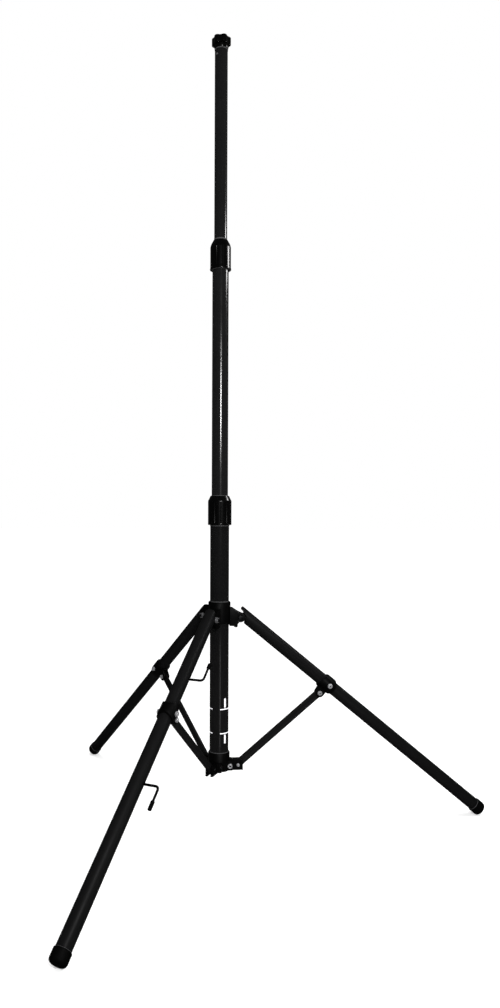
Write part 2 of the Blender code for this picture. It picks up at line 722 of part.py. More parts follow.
def box(low, high):
    work = bmesh.new()
    bmesh.ops.create_cube(work, size=1.0)
    size = Vector(high) - Vector(low)
    bmesh.ops.scale(work, verts=work.verts, vec=size)
    bmesh.ops.translate(work, verts=work.verts, vec=(Vector(low) + Vector(high)) / 2)
    mesh = bpy.data.meshes.new("box")
    work.to_mesh(mesh)
    work.free()
    return object_of("box", mesh)


def leg_tube():
    tube = ring("leg_tube", LEG_RADIUS, LEG_RADIUS - TUBE_WALL, -tube_end, LEG_FLAP_RISE,
                LEG_SIDES)
    moved(tube, (LEG_AXIS_OFFSET, 0, 0))
    wide = 2 * LEG_RADIUS
    flap_side = LEG_AXIS_OFFSET + 7 * MM
    cut(tube, box((-wide, -wide, 0), (flap_side, wide, 2 * LEG_FLAP_RISE)))
    cut(tube, box((-wide, -wide, -LEG_INNER_CUT), (LEG_AXIS_OFFSET - 8 * MM, wide, 1 * MM)))
    round_cut = pin("round", LEG_CUT_RADIUS, -wide, wide, LEG_SIDES)
    cut(tube, lying(round_cut))
    for side in (-1, 1):
        edge = side * (LEG_RADIUS + 1 * MM)
        snip = side * (LEG_RADIUS - 7 * MM)
        corner_cut = plate("snip", [
            (snip, LEG_FLAP_RISE + 1 * MM),
            (edge, LEG_FLAP_RISE + 1 * MM),
            (edge, LEG_FLAP_RISE - 7 * MM),
        ], 4 * wide)
        corner_cut.data.transform(Matrix.Rotation(math.pi / 2, 4, "Z"))
        cut(tube, corner_cut)
    cut(tube, cross_hole(LEG_AXIS_OFFSET, -COLLAR_BOLT_DOWN_LEG, collar_bolt_radius + HOLE_PLAY))
    return tube


def leg_head():
    nose = 11.6 * MM
    half_width = UPPER_CHEEK_INNER - FIT
    outline = arc((0, 0), nose, 35, 215, 9) + [
        (0.5 * MM, -LEG_INNER_CUT + 2 * MM),
        (0.5 * MM, -LEG_INNER_CUT - 6 * MM),
        (LEG_AXIS_OFFSET + 10.5 * MM, -LEG_INNER_CUT - 6 * MM),
        (LEG_AXIS_OFFSET + 10.5 * MM, -LEG_INNER_CUT + 8 * MM),
    ]
    head = plate("leg_head", outline, 2 * half_width)
    plug_radius = LEG_RADIUS - TUBE_WALL - FIT
    stem = pin("stem", plug_radius, -LEG_INNER_CUT - 30 * MM, -LEG_INNER_CUT - 2 * MM, LEG_SIDES)
    join(head, moved(stem, (LEG_AXIS_OFFSET, 0, 0)))
    cut(head, cross_hole(0, 0, PIVOT_BOLT_DIAMETER / 2 + HOLE_PLAY))
    return head


def foot_cap():
    outer = LEG_RADIUS + FIT + FOOT_CAP_WALL
    inner = LEG_RADIUS + FIT
    low = -CAP_RIM_DOWN_LEG - FOOT_CAP_LENGTH
    high = -CAP_RIM_DOWN_LEG
    profile = [(0, -tube_end - FIT), (inner, -tube_end - FIT), (inner, high), (outer - 0.6 * MM, high)]
    profile += [(outer, high - 0.8 * MM)]
    profile += arc((outer - FOOT_CAP_CORNER, low + FOOT_CAP_CORNER), FOOT_CAP_CORNER, 0, -90, 6)
    profile += [(0, low)]
    return moved(turned("foot_cap", profile, LEG_SIDES, solid=True), (LEG_AXIS_OFFSET, 0, 0))


def leg_collar():
    bolt_z = -COLLAR_BOLT_DOWN_LEG
    sleeve = pin("leg_collar", collar_outer, bolt_z - 17.5 * MM, bolt_z + 25 * MM, LEG_SIDES)
    moved(sleeve, (LEG_AXIS_OFFSET, 0, 0))
    over = collar_outer + 2 * MM
    top_x = LEG_AXIS_OFFSET + over
    side_x = LEG_AXIS_OFFSET
    for outline in (
        [(side_x + 2 * MM, 26), (side_x + 12 * MM, 22.5), (top_x, 14), (top_x, 40), (side_x, 40)],
        [(side_x + 2 * MM, -18.5), (side_x, -40), (top_x, -40), (top_x, -8), (side_x + 12 * MM, -15)],
        [(side_x - 12 * MM, -18.5), (side_x - over, -11), (side_x - over, -40),
         (side_x - 12 * MM, -40)],
    ):
        points = []
        for x, z in outline:
            points.append((x, bolt_z + z * (1 if abs(z) < 1 else MM)))
        cut(sleeve, plate("arch", points, 4 * collar_outer))
    tip = (strut_pivot.x, strut_pivot.z)
    cheek = [(LEG_AXIS_OFFSET - 10 * MM, bolt_z + 21 * MM)]
    cheek += arc(tip, LEG_COLLAR_TIP_RADIUS, 100, 280, 10)
    cheek += [(LEG_AXIS_OFFSET - 10 * MM, tip[1] - LEG_COLLAR_TIP_RADIUS)]
    half_width = strut_gap + LEG_COLLAR_CHEEK
    lug = plate("lug", cheek, 2 * half_width)
    gap_low = tip[1] - 2 * LEG_COLLAR_TIP_RADIUS
    gap_high = bolt_z + 40 * MM
    gap_x = LEG_AXIS_OFFSET - collar_outer
    cut(lug, plate("gap", [(gap_x, gap_low), (gap_x, gap_high), (tip[0] * 3, gap_high),
                           (tip[0] * 3, gap_low)], 2 * strut_gap))
    join(sleeve, lug)
    for side in (-1, 1):
        boss = pin("boss", 7.5 * MM, -2.5 * MM, 2.5 * MM, 16)
        join(sleeve, lying(boss, (LEG_AXIS_OFFSET, side * (collar_outer - 2 * MM), bolt_z)))
    cut(sleeve, leg_bore())
    cut(sleeve, cross_hole(LEG_AXIS_OFFSET, bolt_z, collar_bolt_radius + HOLE_PLAY))
    cut(sleeve, cross_hole(tip[0], tip[1], collar_bolt_radius + HOLE_PLAY))
    return sleeve


def bolt_with_nut(name, head, seat_at, nut_corners):
    """A bolt with its nut run home, as one piece."""
    made = bolt(name, collar_bolt_radius, head, 4 * MM, seat_at, seat_at + 6.5 * MM)
    apply_all(made)
    nut = pin("nut", nut_corners / 2, seat_at, seat_at + 5 * MM, 6)
    join(made, nut)
    return lying(made)


def linkage():
    """The strut's length and its rest angle in the leg's frame, from the three pivots."""
    down_leg = Vector((math.sin(LEG_INCLINATION), -math.cos(LEG_INCLINATION)))
    out_of_leg = Vector((math.cos(LEG_INCLINATION), math.sin(LEG_INCLINATION)))
    upper = Vector(pivot) + out_of_leg * strut_pivot.x - down_leg * strut_pivot.z
    lower = Vector((FOOT_PIVOT_REACH, FOOT_PIVOT_HEIGHT))
    run = lower - upper
    along = run.dot(down_leg)
    across = run.dot(out_of_leg)
    return run.length, math.atan2(-across, along)


strut_length, strut_angle = linkage()


def strut():
    end = STRUT_DEPTH / 2
    outline = arc((0, 0), end, 0, 180, 8) + arc((0, -strut_length), end, 180, 360, 8)
    bar = plate("strut", outline, STRUT_THICKNESS)
    soften = bar.modifiers.new("edges", "BEVEL")
    soften.width = 2.0 * MM
    soften.segments = 2
    soften.limit_method = "ANGLE"
    soften.angle_limit = math.radians(60)
    apply_all(bar)
    half = STRUT_GROOVE_WIDTH / 2
    high = -STRUT_DEPTH - 5 * MM
    low = -strut_length + STRUT_DEPTH + 5 * MM
    shape = arc((0, high), half, 0, 180, 4) + arc((0, low), half, 180, 360, 4)
    for side in (-1, 1):
        groove = plate("groove", shape, 2 * STRUT_GROOVE_DEPTH)
        cut(bar, moved(groove, (0, side * STRUT_THICKNESS / 2, 0)))
    cut(bar, cross_hole(0, 0, collar_bolt_radius + HOLE_PLAY))
    cut(bar, cross_hole(0, -strut_length, rivet_radius + HOLE_PLAY))
    return bar


spreads = {}
swings = {}
for leg, azimuth in LEG_AZIMUTHS.items():
    spreads[leg] = empty(leg + "_leg_pivot", on_leg_plane(pivot, azimuth),
                         (0, -LEG_INCLINATION, azimuth), hub_slide)
    swings[leg] = empty(leg + "_strut_pivot", strut_pivot, (0, strut_angle, 0), spreads[leg])

cheek_seat = strut_gap + LEG_COLLAR_CHEEK + FIT
sleeve_seat = collar_outer + 0.5 * MM + FIT
on_axis = (LEG_AXIS_OFFSET, 0, -COLLAR_BOLT_DOWN_LEG)
for kind, piece, surface, carriers, spot in (
    ("leg_head", leg_head(), BLACK_CAST, spreads, (0, 0, 0)),
    ("foot_cap", foot_cap(), BLACK_RUBBER, spreads, (0, 0, 0)),
    ("leg_collar", leg_collar(), BLACK_CAST, spreads, (0, 0, 0)),
    ("collar_bolt", bolt_with_nut("bolt", 6.8 * MM, sleeve_seat, 13.4 * MM), BRIGHT_STEEL,
     spreads, on_axis),
    ("strut_bolt", bolt_with_nut("bolt", 6.5 * MM, cheek_seat, 12.4 * MM), BRIGHT_STEEL,
     spreads, strut_pivot),
    ("strut", strut(), BLACK_TUBE, swings, (0, 0, 0)),
):
    repeat(piece, kind, surface,
           [(leg + "_" + kind, spot, (0, 0, 0), carriers[leg]) for leg in LEG_AZIMUTHS])

# The leg tubes differ in the holes for the hooks and the rivet
for leg in LEG_AZIMUTHS:
    tube = leg_tube()
    apply_all(tube)
    if leg == "front":
        for z in (UPPER_HOOK_DOWN_LEG, LOWER_HOOK_DOWN_LEG):
            hole = pin("hole", wire_radius + HOLE_PLAY, 5 * MM, 40 * MM)
            cut(tube, lying(hole, (LEG_AXIS_OFFSET, 0, -z)))
    if leg == "rear":
        hole = pin("hole", LEG_RIVET_DIAMETER / 2 + HOLE_PLAY, 5 * MM, 40 * MM)
        cut(tube, lying(hole, (LEG_AXIS_OFFSET, 0, -LEG_RIVET_DOWN_LEG)))
    finish(tube, leg + "_leg_tube", BLACK_TUBE, spreads[leg])

# Cable hooks: bent wire that leaves the leg sideways and turns along it
wire_root = LEG_RADIUS - 5 * MM
wire_reach = LEG_RADIUS + HOOK_REACH - wire_radius
for level, down_leg, up, rise, tip_length in (
    ("upper", UPPER_HOOK_DOWN_LEG, 1, 38 * MM, 14 * MM),
    ("lower", LOWER_HOOK_DOWN_LEG, -1, 35 * MM, 21 * MM),
):
    path = [(wire_root, 0.0)]
    path += arc((wire_reach - HOOK_BEND, HOOK_BEND), HOOK_BEND, -90, 0, 4)
    path += [(wire_reach, rise + tip_length - 4 * MM)]
    wire = bpy.data.curves.new(level + "_cable_hook", "CURVE")
    wire.dimensions = "3D"
    wire.bevel_depth = wire_radius
    wire.bevel_resolution = 2
    wire.use_fill_caps = True
    spline = wire.splines.new("POLY")
    spline.points.add(len(path) - 1)
    for point, (side, along) in zip(spline.points, path):
        point.co = (0.0, side, up * along, 1.0)
    wire.materials.append(BRIGHT_STEEL)
    hook = bpy.data.objects.new(level + "_cable_hook", wire)
    hook.location = (LEG_AXIS_OFFSET, 0, -down_leg)
    hook.parent = spreads["front"]
    tripod.objects.link(hook)
    bore = wire_radius + FIT
    tip = turned("tip", [
        (0, rise + tip_length),
        (bore + 0.2 * MM, rise + tip_length),
        (bore + 1.3 * MM, rise + tip_length - 1.2 * MM),
        (bore + 1.3 * MM, rise),
        (bore, rise),
        (bore, rise + tip_length - 3 * MM),
        (0, rise + tip_length - 3 * MM),
    ], SMALL_SIDES, solid=True)
    place = (LEG_AXIS_OFFSET, wire_reach, -down_leg)
    repeat(tip, "tip", BLACK_RUBBER, [
        (level + "_hook_tip", place, (0 if up > 0 else math.pi, 0, 0), spreads["front"]),
    ])

leg_rivet_radius = LEG_RIVET_DIAMETER / 2
leg_rivet = turned("rear_leg_rivet", [
    (0, LEG_RADIUS + 2.6 * MM),
    (3.2 * MM, LEG_RADIUS + 2.1 * MM),
    (5.0 * MM, LEG_RADIUS + FIT),
    (leg_rivet_radius, LEG_RADIUS + FIT),
    (leg_rivet_radius, LEG_RADIUS - 4 * MM),
    (0, LEG_RADIUS - 4 * MM),
], SMALL_SIDES, solid=True)
repeat(lying(leg_rivet), "rivet", BRIGHT_STEEL, [
    ("rear_leg_rivet", (LEG_AXIS_OFFSET, 0, -LEG_RIVET_DOWN_LEG), (0, 0, 0), spreads["rear"]),
])

bpy.context.view_layer.update()
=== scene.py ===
"""How the lighting tripod looks: its surfaces, its small parts, the light and the camera.

Everything is in metres in the model's own frame: the mast stands on the origin, +Z is up along
it, +X is to the right and +Y is away from the viewer.
"""

import json
import math

import bmesh
import bpy
from mathutils import Matrix, Vector


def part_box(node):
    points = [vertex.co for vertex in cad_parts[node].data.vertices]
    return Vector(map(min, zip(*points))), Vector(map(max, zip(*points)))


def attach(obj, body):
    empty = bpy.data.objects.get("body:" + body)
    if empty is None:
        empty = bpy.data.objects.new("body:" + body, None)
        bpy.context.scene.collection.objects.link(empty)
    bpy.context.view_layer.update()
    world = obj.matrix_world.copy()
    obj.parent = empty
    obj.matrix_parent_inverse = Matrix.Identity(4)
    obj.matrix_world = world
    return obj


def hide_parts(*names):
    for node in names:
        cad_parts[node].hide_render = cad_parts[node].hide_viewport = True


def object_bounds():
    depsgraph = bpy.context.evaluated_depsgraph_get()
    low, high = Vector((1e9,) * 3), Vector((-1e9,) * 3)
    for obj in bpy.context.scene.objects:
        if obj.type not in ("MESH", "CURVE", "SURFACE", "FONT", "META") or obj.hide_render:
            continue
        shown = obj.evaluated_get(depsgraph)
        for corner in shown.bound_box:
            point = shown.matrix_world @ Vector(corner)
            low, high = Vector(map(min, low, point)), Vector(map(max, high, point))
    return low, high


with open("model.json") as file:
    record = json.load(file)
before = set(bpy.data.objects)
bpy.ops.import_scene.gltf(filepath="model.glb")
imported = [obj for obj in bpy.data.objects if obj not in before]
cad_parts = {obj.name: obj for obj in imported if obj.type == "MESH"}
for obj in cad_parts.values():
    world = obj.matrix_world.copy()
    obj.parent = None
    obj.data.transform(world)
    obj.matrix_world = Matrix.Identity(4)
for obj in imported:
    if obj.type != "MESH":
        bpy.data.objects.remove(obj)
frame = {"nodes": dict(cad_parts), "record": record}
solid_box = [list(corner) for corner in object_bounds()]

MM = 0.001

NODES = frame["nodes"]
BODY_OF = {}
for body, members in frame["record"]["behaviour"]["bodies"].items():
    for member in members:
        BODY_OF[member] = body

# The solids' own sizes, which the small parts are fitted to
BOTTOM_RADIUS = 25.5 * MM
MIDDLE_RADIUS = 22.0 * MM
TOP_RADIUS = 17.5 * MM
TUBE_WALL = 1.5 * MM
LEG_RADIUS = 17.0 * MM
LUG_HALF_WIDTH = 20.0 * MM
GROUND = solid_box[0][2]

# Where each leg points and how far it leans out from upright, in degrees. A direction round the
# mast is counted from +X, so the viewer's side lies at -90
LEGS = {"front": 245.7, "right": 5.7, "rear": 125.7}
LEG_LEAN = 50.55
FRONT = -90.0

# A leg's hub pivot, by its distance from the mast's axis and its height, and how far above the
# pivot the leg tube's own axis runs
HUB_PIVOT = (56.0 * MM, 411.0 * MM)
LEG_AXIS = 10.75 * MM


def leg_frame(leg):
    """The frame of one leg: origin on its hub pivot, +X out of its upper side, -Z down it."""
    turn = math.radians(LEGS[leg])
    reach, height = HUB_PIVOT
    place = Matrix.Translation((reach * math.cos(turn), reach * math.sin(turn), height))
    return place @ Matrix.Rotation(turn, 4, "Z") @ Matrix.Rotation(-math.radians(LEG_LEAN), 4, "Y")


def points_in(own, node):
    """The vertices of a solid, given in another frame."""
    return [own.inverted() @ (NODES[node].matrix_world @ vertex.co)
            for vertex in NODES[node].data.vertices]


# Hand tools


def pick(thing):
    """Select only this object and make it active, in object mode."""
    if bpy.context.object is not None and bpy.context.object.mode != "OBJECT":
        bpy.ops.object.mode_set(mode="OBJECT")
    bpy.ops.object.select_all(action="DESELECT")
    thing.select_set(True)
    bpy.context.view_layer.objects.active = thing


def edit(thing):
    """Open a piece in edit mode with all of its vertices selected."""
    pick(thing)
    bpy.ops.object.mode_set(mode="EDIT")
    bpy.ops.mesh.select_mode(type="VERT")
    bpy.ops.mesh.select_all(action="SELECT")


def leave_edit():
    bpy.ops.object.mode_set(mode="OBJECT")


def choose_points(thing, wanted):
    """In edit mode, select the vertices for which wanted(place) is true."""
    work = bmesh.from_edit_mesh(thing.data)
    for vertex in work.verts:
        vertex.select = bool(wanted(vertex.co))
    work.select_flush_mode()
    bmesh.update_edit_mesh(thing.data)


def face_out(thing):
    """Join vertices that coincide and turn every face outwards."""
    edit(thing)
    bpy.ops.mesh.remove_doubles(threshold=0.005 * MM)
    bpy.ops.mesh.normals_make_consistent(inside=False)
    leave_edit()


def soften(thing, width, angle):
    """Round off every edge sharper than the angle, by a bevel that is then applied."""
    rounding = thing.modifiers.new("soft_edges", "BEVEL")
    rounding.width = width
    rounding.segments = 2
    rounding.limit_method = "ANGLE"
    rounding.angle_limit = math.radians(angle)
    rounding.use_clamp_overlap = True
    pick(thing)
    bpy.ops.object.modifier_apply(modifier=rounding.name)


def settle(thing, name, surface, body, stands_for=(), place=None, smooth=35.0):
    """Bake a piece's place into its mesh, name it, give it its surface and let it ride."""
    pick(thing)
    bpy.ops.object.transform_apply(location=True, rotation=True, scale=True)
    if place is not None:
        thing.data.transform(place)
    thing.name = name
    thing.data.name = name
    thing.data.materials.clear()
    thing.data.materials.append(surface)
    bpy.ops.object.shade_smooth_by_angle(angle=math.radians(smooth))
    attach(thing, body)
    if stands_for:
        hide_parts(*stands_for)


def ring_stack(profile, sides, closed=True):
    """A turned piece, drawn as a stack of rings from a circle by extruding and scaling.

    The profile gives radius and height; a closed one ends where it began.
    """
    radius, height = profile[0]
    bpy.ops.object.select_all(action="DESELECT")
    bpy.ops.mesh.primitive_circle_add(vertices=sides, radius=radius, fill_type="NOTHING",
                                      location=(0, 0, 0))
    made = bpy.context.object
    edit(made)
    bpy.ops.transform.translate(value=(0, 0, height))
    for next_radius, next_height in profile[1:] + ([profile[0]] if closed else []):
        bpy.ops.mesh.extrude_region_move(
            TRANSFORM_OT_translate={"value": (0, 0, next_height - height)})
        share = next_radius / radius
        bpy.ops.transform.resize(value=(share, share, 1), center_override=(0, 0, 0))
        radius, height = next_radius, next_height
    leave_edit()
    face_out(made)
    return made


# Faces that meet at less than this angle are joined into one
NEARLY_FLAT = 0.8


def cleaned(node, width, angle):
    """A copy of a solid with its flat faces joined up and, if a width is given, its edges
    rounded off.
    """
    copy = bpy.data.objects.new(node + "_finished", NODES[node].data.copy())
    bpy.context.scene.collection.objects.link(copy)
    edit(copy)
    bpy.ops.mesh.remove_doubles(threshold=0.01 * MM)
    bpy.ops.mesh.dissolve_limited(angle_limit=math.radians(NEARLY_FLAT))
    leave_edit()
    if width:
        soften(copy, width, angle)
    return copy


# Surfaces


def new_group(name, numbers, vectors, outputs):
    """An empty node group with number and vector inputs, number outputs, and its two ends."""
    group = bpy.data.node_groups.new(name, "ShaderNodeTree")
    for title, value in numbers.items():
        socket = group.interface.new_socket(title, in_out="INPUT", socket_type="NodeSocketFloat")
        socket.default_value = value
    for title in vectors:
        group.interface.new_socket(title, in_out="INPUT", socket_type="NodeSocketVector")
    for title in outputs:
        group.interface.new_socket(title, in_out="OUTPUT", socket_type="NodeSocketFloat")
    start = group.nodes.new("NodeGroupInput")
    end = group.nodes.new("NodeGroupOutput")
    start.location = (-900, 0)
    end.location = (500, 0)
    return group, start, end


def make_grain():
    """Fine grain of a moulded, cast or powder-coated skin, with a slower unevenness in gloss."""
    group, start, end = new_group(
        "skin_grain",
        {"Grain Scale": 900.0, "Cloud Scale": 14.0, "Low Roughness": 0.3, "High Roughness": 0.4},
        ["Vector"], ["Height", "Roughness"])
    link = group.links.new
    grain = group.nodes.new("ShaderNodeTexNoise")
    grain.location = (-500, 200)
    grain.inputs["Detail"].default_value = 3.0
    grain.inputs["Roughness"].default_value = 0.6
    link(start.outputs["Vector"], grain.inputs["Vector"])
    link(start.outputs["Grain Scale"], grain.inputs["Scale"])
    cloud = group.nodes.new("ShaderNodeTexNoise")
    cloud.location = (-500, -150)
    cloud.inputs["Detail"].default_value = 4.0
    link(start.outputs["Vector"], cloud.inputs["Vector"])
    link(start.outputs["Cloud Scale"], cloud.inputs["Scale"])
    gloss = group.nodes.new("ShaderNodeMapRange")
    gloss.location = (0, -150)
    gloss.inputs["From Min"].default_value = 0.3
    gloss.inputs["From Max"].default_value = 0.7
    link(cloud.outputs["Fac"], gloss.inputs["Value"])
    link(start.outputs["Low Roughness"], gloss.inputs["To Min"])
    link(start.outputs["High Roughness"], gloss.inputs["To Max"])
    link(grain.outputs["Fac"], end.inputs["Height"])
    link(gloss.outputs["Result"], end.inputs["Roughness"])
    return group


def make_streaks():
    """Thin rub marks that run along the vector's Z, broken up here and there."""
    group, start, end = new_group(
        "rub_streaks", {"Across": 700.0, "Along": 6.0, "Amount": 0.3}, ["Vector"], ["Mask"])
    link = group.links.new
    scale = group.nodes.new("ShaderNodeCombineXYZ")
    scale.location = (-700, -100)
    for axis, title in (("X", "Across"), ("Y", "Across"), ("Z", "Along")):
        link(start.outputs[title], scale.inputs[axis])
    stretch = group.nodes.new("ShaderNodeVectorMath")
    stretch.operation = "MULTIPLY"
    stretch.location = (-500, 100)
    link(start.outputs["Vector"], stretch.inputs[0])
    link(scale.outputs["Vector"], stretch.inputs[1])
    lines = group.nodes.new("ShaderNodeTexNoise")
    lines.location = (-300, 100)
    lines.inputs["Scale"].default_value = 1.0
    lines.inputs["Detail"].default_value = 2.0
    link(stretch.outputs["Vector"], lines.inputs["Vector"])
    breaks = group.nodes.new("ShaderNodeTexNoise")
    breaks.location = (-300, -200)
    breaks.inputs["Scale"].default_value = 22.0
    link(start.outputs["Vector"], breaks.inputs["Vector"])
    thin = group.nodes.new("ShaderNodeMapRange")
    thin.location = (-50, 100)
    thin.inputs["From Min"].default_value = 0.58
    thin.inputs["From Max"].default_value = 0.74
    link(lines.outputs["Fac"], thin.inputs["Value"])
    gaps = group.nodes.new("ShaderNodeMapRange")
    gaps.location = (-50, -200)
    gaps.inputs["From Min"].default_value = 0.42
    gaps.inputs["From Max"].default_value = 0.62
    link(breaks.outputs["Fac"], gaps.inputs["Value"])
    broken = group.nodes.new("ShaderNodeMath")
    broken.operation = "MULTIPLY"
    broken.location = (150, 0)
    link(thin.outputs["Result"], broken.inputs[0])
    link(gaps.outputs["Result"], broken.inputs[1])
    share = group.nodes.new("ShaderNodeMath")
    share.operation = "MULTIPLY"
    share.location = (320, 0)
    link(broken.outputs["Value"], share.inputs[0])
    link(start.outputs["Amount"], share.inputs[1])
    link(share.outputs["Value"], end.inputs["Mask"])
    return group


SKIN_GRAIN = make_grain()
RUB_STREAKS = make_streaks()


# How large the slow drift between the two shades is, and how far it goes towards the lighter
DRIFT_SCALE = 30.0
DRIFT_SHARE = 0.35


def surface(name, dark, light, low_rough, high_rough, grain_scale, grain_depth, cloud_scale=14.0,
            metallic=0.0, specular=0.5, streaks=0.0, across=700.0, turn=None):
    """A surface of two near shades with its own grain, gloss and rub marks.

    turn is the rotation that brings the piece's own long axis onto Z.
    """
    made = bpy.data.materials.new(name)
    made.use_nodes = True
    tree = made.node_tree
    link = tree.links.new
    skin = tree.nodes["Principled BSDF"]
    skin.inputs["Metallic"].default_value = metallic
    skin.inputs["Specular IOR Level"].default_value = specular
    place = tree.nodes.new("ShaderNodeTexCoord")
    place.location = (-1300, 0)
    mapping = tree.nodes.new("ShaderNodeMapping")
    mapping.location = (-1100, 0)
    if turn is not None:
        mapping.inputs["Rotation"].default_value = turn
    link(place.outputs["Object"], mapping.inputs["Vector"])
    grain = tree.nodes.new("ShaderNodeGroup")
    grain.node_tree = SKIN_GRAIN
    grain.location = (-850, -150)
    grain.inputs["Grain Scale"].default_value = grain_scale
    grain.inputs["Cloud Scale"].default_value = cloud_scale
    grain.inputs["Low Roughness"].default_value = low_rough
    grain.inputs["High Roughness"].default_value = high_rough
    link(mapping.outputs["Vector"], grain.inputs["Vector"])
    rubs = tree.nodes.new("ShaderNodeGroup")
    rubs.node_tree = RUB_STREAKS
    rubs.location = (-850, 200)
    rubs.inputs["Across"].default_value = across
    rubs.inputs["Amount"].default_value = streaks
    link(mapping.outputs["Vector"], rubs.inputs["Vector"])
    drift = tree.nodes.new("ShaderNodeTexNoise")
    drift.location = (-850, 450)
    drift.inputs["Scale"].default_value = DRIFT_SCALE
    drift.inputs["Detail"].default_value = 5.0
    link(mapping.outputs["Vector"], drift.inputs["Vector"])
    both = tree.nodes.new("ShaderNodeMath")
    both.operation = "ADD"
    both.use_clamp = True
    both.location = (-550, 300)
    weak = tree.nodes.new("ShaderNodeMath")
    weak.operation = "MULTIPLY"
    weak.inputs[1].default_value = DRIFT_SHARE
    weak.location = (-650, 450)
    link(drift.outputs["Fac"], weak.inputs[0])
    link(weak.outputs["Value"], both.inputs[0])
    link(rubs.outputs["Mask"], both.inputs[1])
    colour = tree.nodes.new("ShaderNodeMix")
    colour.data_type = "RGBA"
    colour.location = (-350, 250)
    colour.inputs["A"].default_value = (*dark, 1.0)
    colour.inputs["B"].default_value = (*light, 1.0)
    link(both.outputs["Value"], colour.inputs["Factor"])
    link(colour.outputs["Result"], skin.inputs["Base Color"])
    link(grain.outputs["Roughness"], skin.inputs["Roughness"])
    bump = tree.nodes.new("ShaderNodeBump")
    bump.location = (-350, -250)
    bump.inputs["Strength"].default_value = 1.0
    bump.inputs["Distance"].default_value = grain_depth
    link(grain.outputs["Height"], bump.inputs["Height"])
    link(bump.outputs["Normal"], skin.inputs["Normal"])
    return made


def grey(value):
    """A grey with a trace of blue in it."""
    return (value, value, value * 1.03)


def tube_black(name, dark, light, turn=None, streaks=0.25, low_rough=0.13, high_rough=0.19,
               specular=0.2):
    """Satin black on a tube or a strut, with rub marks along it."""
    return surface(name, grey(dark), grey(light), low_rough, high_rough, 1400.0, 0.006 * MM,
                   specular=specular, streaks=streaks, turn=turn)


MAST_BLACK = tube_black("satin_black_mast", 0.003, 0.007)
SLIDING_BLACK = tube_black("satin_black_sliding_tube", 0.0045, 0.01, streaks=0.6)
LEG_BLACK = {}
STRUT_BLACK = {}
for leg, azimuth in LEGS.items():
    spin = (0.0, math.radians(LEG_LEAN), -math.radians(azimuth))
    LEG_BLACK[leg] = tube_black("satin_black_" + leg + "_leg", 0.003, 0.0065, spin, 0.25,
                                0.42, 0.52, 0.04)
    STRUT_BLACK[leg] = tube_black("satin_black_" + leg + "_strut", 0.0035, 0.0075, spin, 0.25,
                                  0.42, 0.52, 0.05)
# Black of the castings, also used as painted shade on the bolt sockets and in the rivet holes
BLACK_CASTING_AND_SHADE = surface("black_casting", grey(0.0004), grey(0.0014), 0.42, 0.55, 1100.0, 0.05 * MM,
                     specular=0.06)
PLASTIC_BLACK = surface("black_moulded_plastic", grey(0.0004), grey(0.0012), 0.18, 0.24, 1600.0,
                        0.012 * MM, specular=0.2)
RUBBER_BLACK = surface("black_rubber", grey(0.0004), grey(0.0014), 0.6, 0.75, 700.0, 0.06 * MM,
                       specular=0.04)
# Pale grey of the nylon parts, also used for the pale rings and as a painted highlight on the
# caps' rims
PALE_GREY = surface("grey_nylon", grey(0.035), grey(0.06), 0.5, 0.62, 900.0, 0.02 * MM,
                     specular=0.2)
ZINC_BRIGHT = surface("bright_zinc", grey(0.3), grey(0.5), 0.2, 0.34, 1300.0, 0.008 * MM,
                      cloud_scale=160.0, metallic=0.6, streaks=0.4, across=2600.0)
# Zinc darkened as painted shade, and dark steel for the cable hooks and as painted shade on bolts
# and rivets
DULL_AND_SHADED_ZINC = surface("dull_zinc_and_painted_shade", grey(0.1), grey(0.2), 0.3, 0.42, 1300.0, 0.008 * MM,
                     cloud_scale=160.0, metallic=0.6, streaks=0.3, across=2600.0)
DARK_STEEL_AND_SHADE = surface("dark_steel_and_painted_shade", grey(0.012), grey(0.03), 0.3, 0.42, 1500.0, 0.01 * MM,
                     cloud_scale=90.0, metallic=1.0)
PAINT_WHITE = surface("white_paint", grey(0.8), grey(0.92), 0.4, 0.55, 1200.0, 0.01 * MM)


# Mast tubes


def mast_tube(node, radius, low, high, look):
    """A smooth tube in the place of a solid one, with both of its ends broken by a small edge."""
    rim = 0.4 * MM
    inner = radius - TUBE_WALL
    tube = ring_stack([
        (radius - rim, high),
        (radius, high - rim),
        (radius, low + rim),
        (radius - rim, low),
        (inner + rim, low),
        (inner, low + rim),
        (inner, high - rim),
        (inner + rim, high),
    ], 96)
    settle(tube, node + "_finished", look, BODY_OF[node], [node], smooth=30.0)


for node, radius, look in (("bottom_tube", BOTTOM_RADIUS, MAST_BLACK),
                           ("middle_tube", MIDDLE_RADIUS, SLIDING_BLACK),
                           ("top_tube", TOP_RADIUS, SLIDING_BLACK)):
    low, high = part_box(node)
    mast_tube(node, radius, low.z, high.z, look)


# Twist collars: a smooth shoulder over a grip with twelve grooves. Each profile runs from the
# mouth at the top down the outside, and back up through the bore

GROOVE_SPACING = 30.0
GROOVE_HALF_WIDTH = 1.3
GROOVE_DEPTH = 0.9 * MM


def twist_collar(node, profile, outer, grip_low, grip_high, first_groove):
    collar = ring_stack(profile, 144)
    edit(collar)

    def in_groove(place):
        angle = math.degrees(math.atan2(place.y, place.x)) - first_groove
        half = GROOVE_SPACING / 2
        near = abs((angle + half) % GROOVE_SPACING - half) < GROOVE_HALF_WIDTH
        at_grip = grip_low < place.z < grip_high
        return near and at_grip and math.hypot(place.x, place.y) > outer - 0.5 * MM

    choose_points(collar, in_groove)
    share = 1 - GROOVE_DEPTH / outer
    bpy.ops.transform.resize(value=(share, share, 1), center_override=(0, 0, 0))
    leave_edit()
    settle(collar, node + "_finished", PLASTIC_BLACK, BODY_OF[node], [node], smooth=22.0)


